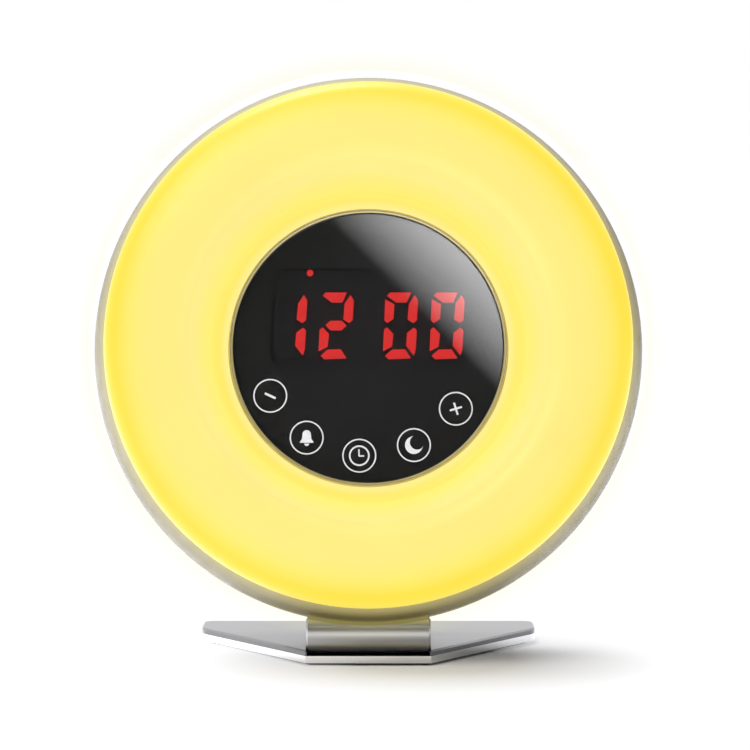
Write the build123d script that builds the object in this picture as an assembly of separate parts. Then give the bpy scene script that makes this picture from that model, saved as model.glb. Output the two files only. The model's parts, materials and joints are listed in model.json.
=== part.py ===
"""Sunrise alarm clock: a round lamp with a touch display, carried by a two-layer metal foot.

Millimetres, +Z up. The display faces -Y and the origin is the middle of the foot's underside.

The clock's head is drawn in a frame of its own and then leaned back on the foot. In that frame
X points right, Y points up along the face and Z points forward out of the face. Z is 0 at the
seam between the light diffuser and the rear housing, so inner parts have a negative Z.
"""
from build123d import *
import math
import os

# ------------------------------------------------------------------ foot
foot_depth = 64.0
foot_back_width = 105.6
foot_front_width = 38.4
foot_side_length = 16.0       # straight part of each side, next to the back edge
foot_back_corner = 3.5        # corner radii, seen from above
foot_side_corner = 9.0
pad_thickness = 0.8
pad_inset = 2.5
plate_thickness = 2.2
cover_thickness = 1.8
cover_bevel = 0.5

# ---------------------------------------------------------------- column
column_width = 38.0
column_depth = 48.0
column_height = 14.0          # before the saddle is cut; the front is a half round of this height
column_edge = 0.5
saddle_thickness = 6.2        # column material under the lowest point of the head
saddle_setback = 20.8         # that lowest point, behind the front of the foot

# --------------------------------------------------------- head placement
lean_angle = 10.4             # the face looks slightly upwards

# ---------------------------------------------------------- rear housing
rim_radius = 85.0             # widest ring of the head
rim_depth = 17.0              # that ring, behind the seam
seam_inset = 3.9              # the seam lies this far inside the widest ring
belly_radius = 33.0           # round between the widest ring and the flat back
housing_wall = 2.4
neck_pad_width = 36.6         # pad that seats the housing in the column's saddle
neck_pad_rise = 1.0
neck_pad_front = 9.0          # both measured behind the seam
neck_pad_back = 40.0
rib_count = 8
rib_thickness = 1.6
rib_height = 5.0
rib_start = 56.0              # inner end of the ribs, from the head's axis

# -------------------------------------------------- diffuser, bezel, lens
diffuser_wall = 2.2
diffuser_foot = 1.5           # upright edge above the seam
shoulder_round = 7.5          # tight curve between that edge and the broad crest
crest_reach = 18.65           # from the diffuser's hole to its highest ring
crest_height = 12.0           # that ring, in front of the seam
flank_top_inset = 5.0         # from the crest to the straight inner flank, before rounding
flank_foot_reach = 4.1        # from the diffuser's hole to that flank, before rounding
flank_top_round = 7.4
flank_foot_round = 4.0
spigot_length = 4.0
spigot_wall = 2.0
bezel_radius = 43.2
bezel_width = 1.15
bezel_depth = 6.4
bezel_proud = 0.8             # bezel in front of the lens
bezel_bevel = 0.35
shoulder_width = 1.35
shoulder_thickness = 1.0
flange_drop = 0.4             # diffuser's inner edge behind the bezel
lens_recess = 10.5            # front of the lens behind the seam
lens_thickness = 2.0
lens_edge = 0.3
film_thickness = 0.2

# --------------------------------------------------------------- display
digit_width = 10.2
digit_height = 20.8
digit_slant = 2.5             # degrees
digit_pitch = 14.44
colon_pitch = 19.93           # from the second digit to the third
digit_rise = 7.0              # middle of the digits above the middle of the lens
digit_bars = {                # corners of the seven bars, from the digit's lower left corner
    "a": [(0.5, 19.8), (1.5, 20.8), (7.9, 20.8), (6.7, 17.7), (3.4, 17.7)],
    "b": [(9.1, 20.0), (10.2, 18.3), (10.1, 12.2), (9.0, 11.3), (7.2, 12.4), (7.4, 17.3)],
    "c": [(9.3, 9.8), (10.2, 9.0), (10.1, 3.0), (9.6, 1.2), (7.1, 4.2), (7.2, 8.2)],
    "d": [(0.7, 1.1), (2.8, 3.0), (6.8, 3.1), (8.7, 0.3), (1.8, 0.0)],
    "e": [(1.0, 9.9), (3.0, 7.8), (2.7, 3.9), (0.0, 2.5), (0.0, 9.2)],
    "f": [(0.0, 18.7), (2.9, 17.1), (2.8, 12.6), (1.0, 11.3), (0.0, 12.1)],
    "g": [(1.7, 10.6), (3.3, 12.0), (6.7, 12.0), (8.3, 10.5), (6.8, 9.0), (3.4, 9.0)],
}
segment_thickness = 0.3
colon_dot_radius = 1.3
colon_dot_rise = 4.6
morning_dot_radius = 1.0      # small lamp above the first digit
morning_dot = (-18.1, 23.5)
film_window_margin = 2.0
film_window_corner = 3.0
shown_time = ("bc", "abged", "abcdef", "abcdef")   # 12 00, with the colon off
display_gap = 0.6             # between the film and the segments
module_width = 62.0
module_height = 32.4
module_rise = 9.5             # middle of the module above the middle of the lens
module_thickness = 7.2

# ------------------------------------------------------------ touch keys
key_angles = (206, 236, 266, 296, 326)
key_ring_radius = 33.05
key_spring_radius = 3.2
key_spring_wall = 0.6

# ---------------------------------------------------------------- boards
board_thickness = 1.6
board_ledge_width = 2.6
board_ledge_thickness = 1.5
board_ear_ring = 38.5
board_ear_radius = 3.0
board_ear_length = 4.2
board_ear_angles = (10, 90, 170, 281)

# ------------------------------------------------------------ light dish
dish_wall = 1.6
dish_floor_thickness = 2.0
dish_floor_step = 0.1         # back of the dish floor behind the front of the main board
dish_skirt = 5.6              # inner tube behind the dish floor
dish_flare = 4.0              # outer wall leans outwards by this much
dish_top = 1.0                # top of the outer wall, behind the seam
led_board_inner_gap = 2.8
led_board_outer_gap = 1.6
led_count = 24
led_ring_radius = 60.0
led_size = 3.2
led_height = 1.4
led_screw_ring = 51.8
led_screw_angles = (7.5, 97.5, 187.5, 277.5)
led_boss_radius = 2.6
led_boss_length = 4.6
led_wire_hole_radius = 2.4
led_wire_ring = 55.5
led_wire_angle = 60.0

# ------------------------------------------------- screws: head and shank
m3_shank = 1.5
m3_head = 2.8
m3_head_height = 1.8
m25_shank = 1.1
m25_head = 2.1
m25_head_height = 1.4
pilot_clearance = 0.05        # thread is left out, so the pilot just clears the shank
hole_clearance = 0.25
head_clearance = 0.3

housing_screw_ring = 60.0
housing_screw_angles = (45, 135, 225, 315)
housing_boss_radius = 4.2
housing_boss_joint = 28.0     # where housing boss and dish boss meet, behind the seam
housing_screw_seat = 40.0     # under the screw's head, behind the seam
housing_screw_length = 18.0

column_screw_x = 14.0
column_screw_y = (10.0, 36.0)  # behind the front of the foot
column_screw_length = 6.4
neck_screw_x = 9.5
neck_screw_grip = 2.6         # column material between head and saddle
neck_screw_length = 13.0
neck_boss_radius = 4.0
neck_boss_length = 10.0

# --------------------------------------------------------------- speaker
speaker_y = 20.0
speaker_radius = 20.0
speaker_flange = 1.0
speaker_basket_depth = 7.8
speaker_basket_wall = 0.9
speaker_magnet_radius = 12.5
speaker_magnet_height = 6.4
speaker_window_angles = (45, 135, 225, 315)
speaker_cone_gap = 1.0        # between the cone and the basket
speaker_cone_share = 0.6      # height of the cone as a share of the basket's depth
speaker_dome_radius = 5.2
gasket_thickness = 0.8
gasket_width = 2.4
speaker_fence_wall = 1.2
speaker_screw_reach = 3.0     # screws' axes outside the speaker's edge
speaker_screw_angles = (90, 210, 330)
speaker_screw_head = 3.7
speaker_screw_skin = 0.8      # housing wall left behind the tip of the screw
speaker_boss_radius = 2.4
terminal_size = 5.0
grille_pitch = 5.0
grille_rings = 3
grille_hole_radius = 1.1

# ----------------------------------------------------------- battery bay
cell_radius = 5.2
cell_length = 43.3
cell_nub_radius = 1.9
cell_nub_length = 1.2
cell_pitch = 11.0
cell_clearance = 0.3
bay_y = -19.0
bay_wall = 1.6
bay_ledge = 2.2
bay_ledge_pad = 1.2
contact_thickness = 0.4
contact_size = 8.0
spring_length = 5.7
spring_wide = 3.6
spring_narrow = 2.2
spring_wall = 0.5
lug_width = 3.0
lug_length = 3.8
door_thickness = 1.6
door_clearance = 0.25
door_corner = 2.5
hook_x = 16.0
hook_width = 6.0
hook_leg = 1.1
hook_reach = 2.25
hook_toe = 1.4
hook_toe_thickness = 1.2
latch_half_width = 5.0
latch_slit = 0.8
latch_length = 7.0
grip_radius = 6.0
grip_depth = 1.2

# --------------------------------------------------------------- buttons
button_x = 34.0
button_y = 24.0
button_radius = 5.6
button_proud = 1.0
button_clearance = 0.3
button_flange = 1.2
button_flange_thickness = 1.2
button_flange_gap = 0.3
button_dish = 0.5
button_travel = 0.4
plunger_radius = 1.7
plunger_length = 1.5          # outside its switch
plunger_hold = 0.8            # inside its switch
plunger_clearance = 0.15
switch_size = 6.0
switch_height = 3.5
switch_board_width = 9.0
switch_board_height = 24.0
switch_post_radius = 2.2
switch_post_rise = 9.5

# ------------------------------------------------------------ power inlet
jack_x = 39.5
jack_y = -14.0
jack_size = 9.0
jack_length = 12.6
jack_nose_radius = 3.9
jack_nose_length = 2.0
jack_hole_clearance = 0.2
jack_bore_radius = 2.8
jack_bore_depth = 10.6
jack_pin_radius = 1.0
jack_pin_inset = 1.0
power_board_width = 18.0
power_board_length = 12.0
power_board_lift = 0.3        # above the housing's back wall
guide_rib_width = 2.4
guide_rib_wall = 1.6
guide_overlap = 0.6
guide_length = 9.6

# ----------------------------------------------------------------- wires
wire_radius = 0.8
wire_bend = 0.6               # bend radius as a share of the shortest run beside it
led_wire_drop = 12.0          # below the lamp board
socket_width = 6.0
socket_depth = 4.0
socket_height = 5.0

# ------------------------------------------------------- derived: foot
foot_front = -foot_depth / 2
foot_back = foot_depth / 2
plate_bottom = pad_thickness
plate_top = plate_bottom + plate_thickness
cover_top = plate_top + cover_thickness
fit_gap = 0.15                # seat and sliding clearance used throughout
cut_past = 1.0                # how far a cut runs past the surface it opens

# ------------------------------------------------------- derived: head
seam_radius = rim_radius - seam_inset
flat_back_radius = rim_radius - belly_radius
back_depth = rim_depth + belly_radius
lean = math.radians(lean_angle)
saddle_radius = belly_radius + neck_pad_rise + fit_gap
low_radius = flat_back_radius + saddle_radius * math.cos(lean)
low_depth = rim_depth + saddle_radius * math.sin(lean)
head_z = plate_top + saddle_thickness + low_radius * math.cos(lean) + low_depth * math.sin(lean)
head_y = foot_front + saddle_setback + low_radius * math.sin(lean) - low_depth * math.cos(lean)
head_plane = Plane(
    origin=(0, head_y, head_z),
    x_dir=(1, 0, 0),
    z_dir=(0, -math.cos(lean), math.sin(lean)),
)

# ------------------------------------------- derived: depths in the head
back_outside = -back_depth
back_inside = back_outside + housing_wall
lens_front = -lens_recess
lens_back = lens_front - lens_thickness
film_back = lens_back - film_thickness
bezel_front = lens_front + bezel_proud
bezel_back = bezel_front - bezel_depth
bezel_inside = bezel_radius - bezel_width
lens_radius = bezel_inside - fit_gap
flange_front = bezel_front - flange_drop
segment_front = film_back - display_gap
module_face = segment_front - segment_thickness
board_front = module_face - module_thickness
board_back = board_front - board_thickness
diffuser_hole = bezel_radius + fit_gap
crest_radius = diffuser_hole + crest_reach
flank_top_radius = crest_radius - flank_top_inset
flank_foot_radius = diffuser_hole + flank_foot_reach
tube_inside = bezel_radius + fit_gap
tube_outside = tube_inside + dish_wall
tube_top = flange_front - diffuser_wall
dish_floor_back = board_front - dish_floor_step
dish_floor_front = dish_floor_back + dish_floor_thickness
spigot_outside = seam_radius - housing_wall - fit_gap
spigot_inside = spigot_outside - spigot_wall
dish_outside = spigot_inside - fit_gap
led_board_front = dish_floor_front + board_thickness
speaker_front = back_inside + gasket_thickness
speaker_screw_ring = speaker_radius + speaker_screw_reach
speaker_cone_radius = speaker_radius - gasket_width - speaker_cone_gap
bay_length = cell_length + cell_nub_length + spring_length + 2 * contact_thickness
bay_height = 2 * cell_radius + cell_pitch + 2 * cell_clearance
cell_axis = back_outside + door_thickness + cell_clearance + cell_radius
bay_floor = cell_axis + cell_radius + cell_clearance
door_width = bay_length + 2 * bay_ledge
door_height = bay_height + 2 * bay_ledge
door_inside = back_outside + door_thickness
door_bottom = bay_y - door_height / 2
button_front = back_outside - button_proud
button_flange_back = back_inside + button_flange_gap
button_flange_front = button_flange_back + button_flange_thickness
switch_face = button_flange_front + plunger_length
switch_board_back = switch_face + switch_height
jack_back = back_inside + jack_length
power_board_y = jack_y - jack_size / 2 - board_thickness / 2


# ---------------------------------------------------------------- helpers
def tilt_back(shape):
    """Move a solid from the head's frame to its place on the foot."""
    return head_plane.location * shape


def post(x, y, radius, low, high):
    """Round post along the head's axis, between two depths."""
    return Pos(x, y, (low + high) / 2) * Cylinder(radius, high - low)


def block(x, y, width, height, low, high):
    """Rectangular block between two depths."""
    return Pos(x, y, (low + high) / 2) * Box(width, height, high - low)


def ring(outer, inner, low, high):
    """Plain ring about the head's axis, between two depths."""
    return post(0, 0, outer, low, high) - post(0, 0, inner, low, high)


def spin(*outline):
    """Solid of revolution about the head's axis from a closed outline of radius and depth."""
    return revolve(Plane.XZ * make_face(outline), axis=Axis.Z)


def polar(radius, angle):
    """Point at an angle in degrees, anticlockwise from the right."""
    return (radius * math.cos(math.radians(angle)), radius * math.sin(math.radians(angle)))


def polar_points(radius, angles):
    return [polar(radius, angle) for angle in angles]


def screw(head, head_height, shank, length):
    """Plain screw: underside of the head at Z = 0, shank towards +Z."""
    return post(0, 0, head, -head_height, 0) + post(0, 0, shank, 0, length)


def wire(start, end, level):
    """Round wire along the head's axis to a level, across to above or below its end, and on to it."""
    points = [start, (start[0], start[1], level), (end[0], end[1], level), end]
    across = math.dist(start[:2], end[:2])
    radius = wire_bend * min(abs(level - start[2]), abs(end[2] - level), across / 2)
    path = FilletPolyline(*points, radius=radius)
    section = Plane(origin=path @ 0, z_dir=path % 0) * Circle(wire_radius)
    return sweep(section, path=path)


# ------------------------------------------------------------------- foot
def foot_outline():
    """The foot from above: narrow at the front, wide and blunt-tipped at the back."""
    tip_front = foot_back - foot_side_length
    corners = [
        (foot_front_width / 2, foot_front),
        (foot_back_width / 2, tip_front),
        (foot_back_width / 2, foot_back),
    ]
    mirrored = [(-x, y) for x, y in reversed(corners)]
    outline = make_face(Polyline(*corners, *mirrored, close=True))
    outline = fillet(outline.vertices().group_by(Axis.Y)[1], foot_side_corner)
    return fillet(outline.vertices().group_by(Axis.Y)[-1], foot_back_corner)


def column_screw_points():
    return [(side * column_screw_x, foot_front + y) for side in (-1, 1) for y in column_screw_y]


def foot_pad():
    """Soft anti-slip sheet under the plate."""
    return extrude(offset(foot_outline(), -pad_inset), pad_thickness)


def countersink(x, y, clearance):
    """Cone and hole of a flat-head screw that enters the plate from below."""
    return Pos(x, y, plate_bottom + m3_head_height / 2) * Cone(
        m3_head + clearance, m3_shank + clearance, m3_head_height
    )


def foot_plate():
    """Polished lower layer, with countersunk holes for the column's screws."""
    plate = Pos(0, 0, plate_bottom) * extrude(foot_outline(), plate_thickness)
    for x, y in column_screw_points():
        plate -= countersink(x, y, fit_gap)
        plate -= post(x, y, m3_shank + fit_gap, plate_bottom, plate_top)
    return plate


def foot_cover():
    """Satin upper layer with a bevelled top edge, notched for the column."""
    cover = Pos(0, 0, plate_top) * extrude(foot_outline(), cover_thickness)
    cover = chamfer(cover.faces().sort_by(Axis.Z)[-1].edges(), cover_bevel)
    notch_back = foot_front + column_depth + fit_gap
    notch_front = foot_front - foot_depth / 2
    notch = block(
        0,
        (notch_front + notch_back) / 2,
        column_width + 2 * fit_gap,
        notch_back - notch_front,
        plate_top,
        cover_top,
    )
    return cover - notch


# ----------------------------------------------------------------- column
def neck_envelope(rise, front):
    """Housing outline raised by rise, with its side carried straight forward to a given depth."""
    radius = rim_radius + rise
    back = back_depth + rise
    side = Line((radius, front), (radius, -rim_depth))
    belly = CenterArc((flat_back_radius, -rim_depth), belly_radius + rise, -90, 90)
    return spin(
        Line((0, front), (radius, front)),
        side,
        belly,
        Line((flat_back_radius, -back), (0, -back)),
        Line((0, -back), (0, front)),
    )


def neck_screw_points():
    return [(side * neck_screw_x, -low_depth) for side in (-1, 1)]


def neck_rod(x, z, radius, low, high):
    """Round rod along the head's Y axis at a given X and depth."""
    return Pos(x, (low + high) / 2, z) * Rot(90, 0, 0) * Cylinder(radius, high - low)


def stand_column():
    """Flat bar with round ends, hollowed on top to take the round back of the head."""
    middle_y = foot_front + column_depth / 2
    middle_z = plate_top + column_height / 2
    side_view = Plane.YZ * Pos(middle_y, middle_z) * SlotOverall(column_depth, column_height)
    column = extrude(side_view, column_width / 2, both=True)
    column = chamfer(column.faces().filter_by(Axis.X).edges(), column_edge)
    column -= tilt_back(neck_envelope(neck_pad_rise + fit_gap, rim_depth))
    for x, y in column_screw_points():
        column -= post(x, y, m3_shank + pilot_clearance, plate_top - fit_gap, column_screw_top())
    for x, z in neck_screw_points():
        seat = -low_radius - neck_screw_grip
        hole_top = -low_radius + cut_past
        column -= tilt_back(neck_rod(x, z, m3_shank + hole_clearance, seat - cut_past, hole_top))
        column -= tilt_back(neck_rod(x, z, m3_head + head_clearance, seat - column_height, seat))
    return column


def column_screw_top():
    return plate_bottom + column_screw_length + fit_gap


def column_screws():
    """Four flat-head screws from below, through plate and into the column."""
    screws = []
    for x, y in column_screw_points():
        head = Pos(x, y, plate_bottom + m3_head_height / 2) * Cone(m3_head, m3_shank, m3_head_height)
        shank = post(x, y, m3_shank, plate_bottom, plate_bottom + column_screw_length)
        screws.append(head + shank)
    return screws


def neck_screws():
    """Two pan-head screws up through the column into the housing's bosses."""
    screws = []
    for x, z in neck_screw_points():
        seat = -low_radius - neck_screw_grip
        head = neck_rod(x, z, m3_head, seat - m3_head_height, seat)
        shank = neck_rod(x, z, m3_shank, seat, seat + neck_screw_length)
        screws.append(tilt_back(head + shank))
    return screws


# ----------------------------------------------------------- rear housing
def bowl(inset, mouth=0.0):
    """The housing's outer form, filled, moved inwards by inset and open up to the mouth."""
    side = rim_radius - inset
    lip = seam_radius - inset
    back = back_depth - inset
    outline = [
        Line((0, mouth), (lip, mouth)),
        TangentArc((side, -rim_depth), (lip, 0), tangent=(0, 1)),
        CenterArc((flat_back_radius, -rim_depth), belly_radius - inset, -90, 90),
        Line((flat_back_radius, -back), (0, -back)),
        Line((0, -back), (0, mouth)),
    ]
    if mouth > 0:
        outline.append(Line((lip, mouth), (lip, 0)))
    return spin(*outline)


def neck_pad():
    """Raised pad under the housing, as wide as the column's saddle."""
    pad = neck_envelope(neck_pad_rise, -neck_pad_front)
    middle = (neck_pad_front + neck_pad_back) / 2
    reach = Pos(0, -rim_radius, -middle) * Box(
        neck_pad_width, rim_radius, neck_pad_back - neck_pad_front
    )
    return (pad & reach) - bowl(housing_wall / 2, mouth=neck_pad_front)


def housing_ribs():
    """Low radial ribs where the housing's back curves into its side."""
    layer = bowl(housing_wall - fit_gap) - bowl(housing_wall + rib_height)
    ribs = []
    middle = (rib_start + rim_radius) / 2
    plate = block(middle, 0, rim_radius - rib_start, rib_thickness, back_outside, -rim_depth)
    for number in range(rib_count):
        ribs.append(layer & Rot(0, 0, 360 * (number + 0.5) / rib_count) * plate)
    return ribs


def grille_points():
    """Holes of the speaker grille: a hexagon of evenly spaced points."""
    points = []
    for row in range(-grille_rings, grille_rings + 1):
        count = 2 * grille_rings + 1 - abs(row)
        for place in range(count):
            x = (place - (count - 1) / 2) * grille_pitch
            y = speaker_y + row * grille_pitch * math.sqrt(3) / 2
            points.append((x, y))
    return points


def speaker_screw_points():
    return [(x, speaker_y + y) for x, y in polar_points(speaker_screw_ring, speaker_screw_angles)]


def battery_tub():
    """Open box behind the battery door, with a ledge that the door rests on."""
    tub = block(
        0,
        bay_y,
        bay_length + 2 * bay_wall,
        bay_height + 2 * bay_wall,
        back_inside,
        bay_floor + bay_wall,
    )
    pad = block(
        0,
        bay_y,
        door_width + 2 * bay_wall,
        door_height + 2 * bay_wall,
        back_inside,
        back_inside + bay_ledge_pad,
    )
    return tub + pad


def battery_cuts():
    """Everything cut away for the battery bay, its door and the door's hooks."""
    recess = door_inside + door_clearance
    width = door_width + 2 * door_clearance
    height = door_height + 2 * door_clearance
    plan = Pos(0, bay_y, back_outside - cut_past) * RectangleRounded(width, height, door_corner)
    cuts = extrude(plan, recess - back_outside + cut_past)
    cuts += block(0, bay_y, bay_length, bay_height, back_outside - cut_past, bay_floor)
    window_low = bay_y - height / 2
    window_high = bay_y - bay_height / 2 + door_clearance
    toe_low = door_bottom - hook_toe - 2 * door_clearance
    for x in (-hook_x, hook_x):
        width = hook_width + 2 * door_clearance
        middle = (window_low + window_high) / 2
        top = door_inside + 2 * hook_reach
        cuts += block(x, middle, width, window_high - window_low, door_inside, top)
        middle = (toe_low + window_high) / 2
        cuts += block(x, middle, width, window_high - toe_low, back_inside, top)
    grip_bottom = back_outside + grip_depth
    cuts += post(0, bay_y + door_height / 2, grip_radius, back_outside - cut_past, grip_bottom)
    for y in lug_rows():
        slot = lug_width + 2 * fit_gap
        cuts += block(lug_x(), y, 2 * contact_thickness, slot, bay_floor, bay_floor + bay_wall)
    return cuts


def lug_x():
    return -bay_length / 2 + contact_thickness / 2 + fit_gap


def lug_rows():
    return [bay_y - cell_pitch / 2, bay_y + cell_pitch / 2]


def power_guides():
    """Two slotted ribs that hold the power board by its edges."""
    guides = []
    board = power_board_blank(fit_gap)
    for side in (-1, 1):
        x = jack_x + side * (power_board_width / 2 - guide_overlap + guide_rib_width / 2)
        rib = block(
            x,
            power_board_y,
            guide_rib_width,
            board_thickness + 2 * guide_rib_wall,
            back_inside - fit_gap,
            back_inside + guide_length,
        )
        guides.append(rib - board)
    return guides


def button_points():
    return {"light": (-button_x, button_y), "sound": (button_x, button_y)}


def switch_post_points(middle):
    return [(middle[0], middle[1] + side * switch_post_rise) for side in (-1, 1)]


def rear_housing():
    """Bowl-shaped rear shell with grille, bay, bosses, guides, ribs and the neck's pad."""
    filled = bowl(0)
    shell = filled - bowl(housing_wall, mouth=rim_depth)
    shell += neck_pad()
    inner = [battery_tub(), *housing_ribs(), *power_guides()]
    fence_top = speaker_front + speaker_flange
    fence_inside = speaker_radius + fit_gap
    fence = ring(
        fence_inside + speaker_fence_wall, fence_inside, back_inside - fit_gap, fence_top
    )
    inner.append(Pos(0, speaker_y, 0) * fence)
    for x, y in speaker_screw_points():
        boss = post(x, y, speaker_boss_radius, back_inside - fit_gap, fence_top)
        seat = Pos(0, speaker_y, 0) * post(0, 0, fence_inside, back_inside, fence_top + cut_past)
        inner.append(boss - seat)
    for x, y in polar_points(housing_screw_ring, housing_screw_angles):
        inner.append(post(x, y, housing_boss_radius, back_outside, -housing_boss_joint) & filled)
    for middle in button_points().values():
        for x, y in switch_post_points(middle):
            inner.append(post(x, y, switch_post_radius, back_inside - fit_gap, switch_board_back))
    for x, z in neck_screw_points():
        low = -rim_radius
        boss = neck_rod(x, z, neck_boss_radius, low, low + neck_boss_length + housing_wall)
        inner.append(boss & bowl(housing_wall / 2))
    for piece in inner:
        shell += piece

    shell -= battery_cuts()
    for x, y in grille_points():
        shell -= post(x, y, grille_hole_radius, back_outside - cut_past, back_inside + cut_past)
    for x, y in speaker_screw_points():
        pilot_end = back_outside + speaker_screw_skin
        shell -= post(x, y, m25_shank + pilot_clearance, pilot_end, fence_top)
    for x, y in polar_points(housing_screw_ring, housing_screw_angles):
        well_mouth = back_outside - cut_past
        shell -= post(x, y, m3_shank + hole_clearance, well_mouth, -housing_boss_joint)
        shell -= post(x, y, m3_head + head_clearance, well_mouth, -housing_screw_seat)
    for middle in button_points().values():
        hole = button_radius + button_clearance
        shell -= post(*middle, hole, back_outside - cut_past, back_inside + cut_past)
        for x, y in switch_post_points(middle):
            shell -= post(x, y, m25_shank + pilot_clearance, back_inside, switch_board_back)
    for x, z in neck_screw_points():
        shell -= neck_rod(x, z, m3_shank + pilot_clearance, -low_radius - cut_past, neck_screw_tip())
    hole = jack_nose_radius + jack_hole_clearance
    shell -= post(jack_x, jack_y, hole, back_outside - cut_past, back_inside + cut_past)
    return shell


def neck_screw_tip():
    return -low_radius - neck_screw_grip + neck_screw_length + fit_gap


# -------------------------------------------------- diffuser, bezel, lens
def dome_curves(inset):
    """Half section of the diffuser's surface moved inwards by inset: shoulder, crest and flank."""
    shoulder_radius = seam_radius - shoulder_round
    rise = crest_height - diffuser_foot
    run = shoulder_radius - crest_radius
    crest_round = (run**2 + rise**2 - shoulder_round**2) / (2 * (rise - shoulder_round))
    crest_middle = crest_height - crest_round
    meeting = math.degrees(math.atan2(diffuser_foot - crest_middle, run))
    slope = math.atan2(crest_height - flange_front, flank_top_radius - flank_foot_radius)
    shift = inset * math.tan(slope / 2)
    flank = FilletPolyline(
        (crest_radius, crest_height - inset),
        (flank_top_radius + shift, crest_height - inset),
        (flank_foot_radius + shift, flange_front - inset),
        (diffuser_hole, flange_front - inset),
        radius=[flank_top_round - inset, flank_foot_round + inset],
    )
    return [
        CenterArc((shoulder_radius, diffuser_foot), shoulder_round - inset, 0, meeting),
        CenterArc((crest_radius, crest_middle), crest_round - inset, meeting, 90 - meeting),
        flank,
    ]


def diffuser_ring():
    """Milky ring over the lamps: a bulging shell with a spigot inside the housing's lip."""
    wall_inside = seam_radius - diffuser_wall
    edge = Line((diffuser_hole, flange_front), (diffuser_hole, flange_front - diffuser_wall))
    rim = Polyline(
        (wall_inside, diffuser_foot),
        (spigot_inside, diffuser_foot),
        (spigot_inside, -spigot_length),
        (spigot_outside, -spigot_length),
        (spigot_outside, 0),
        (seam_radius, 0),
        (seam_radius, diffuser_foot),
    )
    return spin(*dome_curves(0), edge, *dome_curves(diffuser_wall), rim)


def bezel_ring():
    """Thin satin ring round the lens, with a shoulder that the lens sits on."""
    tube = ring(bezel_radius, bezel_inside, bezel_back, bezel_front)
    tube = chamfer(tube.faces().sort_by(Axis.Z)[-1].edges(), bezel_bevel)
    shoulder = ring(
        bezel_inside + bezel_width / 2,
        bezel_inside - shoulder_width,
        film_back - shoulder_thickness,
        film_back,
    )
    return tube + shoulder


def display_lens():
    """Smoked acrylic disc over display and touch keys."""
    lens = post(0, 0, lens_radius, lens_back, lens_front)
    return chamfer(lens.faces().sort_by(Axis.Z)[-1].edges(), lens_edge)


def legend_film():
    """Black film behind the lens, clear only over the digits."""
    film = post(0, 0, lens_radius - fit_gap, film_back, lens_back)
    window = RectangleRounded(
        module_width - film_window_margin, module_height - film_window_margin, film_window_corner
    )
    return film - extrude(Pos(0, module_rise, film_back) * window, film_thickness)


# ---------------------------------------------------------------- display
def digit_corners():
    """Lower left corners of the four digits."""
    span = 2 * digit_pitch + colon_pitch + digit_width
    left = -span / 2
    starts = [0, digit_pitch, digit_pitch + colon_pitch, 2 * digit_pitch + colon_pitch]
    return [(left + start, digit_rise - digit_height / 2) for start in starts]


def segment(letter, corner):
    """One bar of a digit as a thin slanted plate on the face of the module."""
    shear = math.tan(math.radians(digit_slant))
    points = []
    for x, y in digit_bars[letter]:
        slanted_x = x + (y - digit_height / 2) * shear
        points.append((corner[0] + slanted_x, corner[1] + y, module_face))
    return extrude(make_face(Polyline(*points, close=True)), segment_thickness, dir=(0, 0, 1))


def round_lamp(x, y, radius):
    """Round dot of the display."""
    return post(x, y, radius, module_face, segment_front)


def display_segments_lit():
    """Bars that show the time, and the dot that tells morning from evening."""
    bars = [round_lamp(*morning_dot, morning_dot_radius)]
    for letters, corner in zip(shown_time, digit_corners()):
        bars += [segment(letter, corner) for letter in letters]
    return bars


def display_segments_unlit():
    """Dark bars and the two dots of the colon."""
    bars = []
    for letters, corner in zip(shown_time, digit_corners()):
        bars += [segment(letter, corner) for letter in digit_bars if letter not in letters]
    for rise in (-colon_dot_rise, colon_dot_rise):
        bars.append(round_lamp(0, digit_rise + rise, colon_dot_radius))
    return bars


def display_module():
    """Black block that carries the digits, soldered to the main board."""
    return block(0, module_rise, module_width, module_height, board_front, module_face)


# ----------------------------------------------------------------- boards
def board_screw_points():
    return polar_points(board_ear_ring, board_ear_angles)


def main_board():
    board = post(0, 0, tube_inside - fit_gap, board_back, board_front)
    for x, y in board_screw_points():
        board -= post(x, y, m25_shank + hole_clearance, board_back, board_front)
    return board


socket_points = {
    "speaker": (15.0, 26.0),
    "power": (24.0, -12.0),
    "light_switch": (-26.0, 14.0),
    "sound_switch": (28.0, 12.0),
    "led": (12.0, 33.0),
}
chips = [(0.0, 2.0, 12.0, 12.0, 1.6), (-14.0, 24.0, 8.0, 6.0, 1.6), (8.0, -20.0, 10.0, 5.0, 1.6)]
capacitors = [(-6.0, -24.0), (2.0, -31.0)]
capacitor_radius = 3.15
capacitor_height = 8.0


def board_components():
    """Controller, amplifier, memory, capacitors and wire sockets on the back of the main board."""
    pieces = [block(x, y, w, h, board_back - t, board_back) for x, y, w, h, t in chips]
    for x, y in capacitors:
        pieces.append(post(x, y, capacitor_radius, board_back - capacitor_height, board_back))
    for x, y in socket_points.values():
        pieces.append(block(x, y, socket_width, socket_depth, board_back - socket_height, board_back))
    return pieces


def main_board_screws():
    body = screw(m25_head, m25_head_height, m25_shank, board_thickness + board_ear_length - fit_gap)
    return [Pos(x, y, board_back) * body for x, y in board_screw_points()]


def touch_springs():
    """Contact springs from the main board to the film, one under each touch key."""
    springs = []
    for x, y in polar_points(key_ring_radius, key_angles):
        coil = post(x, y, key_spring_radius, board_front, film_back)
        springs.append(coil - post(x, y, key_spring_radius - key_spring_wall, board_front, film_back))
    return springs


# ------------------------------------------------------------- light dish
def led_screw_points():
    return polar_points(led_screw_ring, led_screw_angles)


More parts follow.
